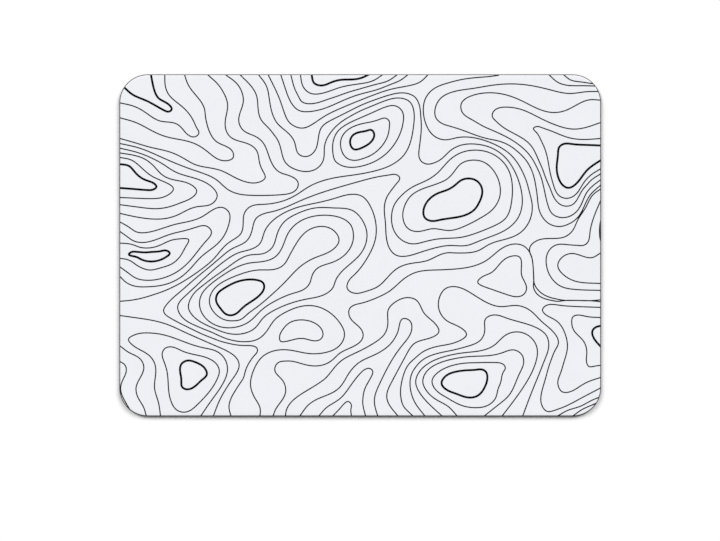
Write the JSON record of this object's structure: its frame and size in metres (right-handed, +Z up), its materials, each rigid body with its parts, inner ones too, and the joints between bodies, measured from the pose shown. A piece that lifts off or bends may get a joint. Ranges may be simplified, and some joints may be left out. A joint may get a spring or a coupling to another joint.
{
  "type": "mouse pad",
  "caption": "Thin rectangular desk pad with rounded corners: printed cloth on foam rubber with a ribbed anti-slip sole.",
  "frame": {"origin": "on the desk surface under the middle of the pad", "axes": "+X along the long side, +Y along the short side towards the picture's top edge, +Z up out of the printed cloth"},
  "size_m": [0.352, 0.25, 0.003],
  "materials": {
    "sole_rubber": "matte",
    "foam_rubber": "matte",
    "bond": "satin",
    "cloth": "matte"
  },
  "bodies": {
    "root": {"grip_sole": "sole_rubber", "foam_core": "foam_rubber", "bonding_film": "bond", "printed_cloth": "cloth"}
  },
  "joints": []
}
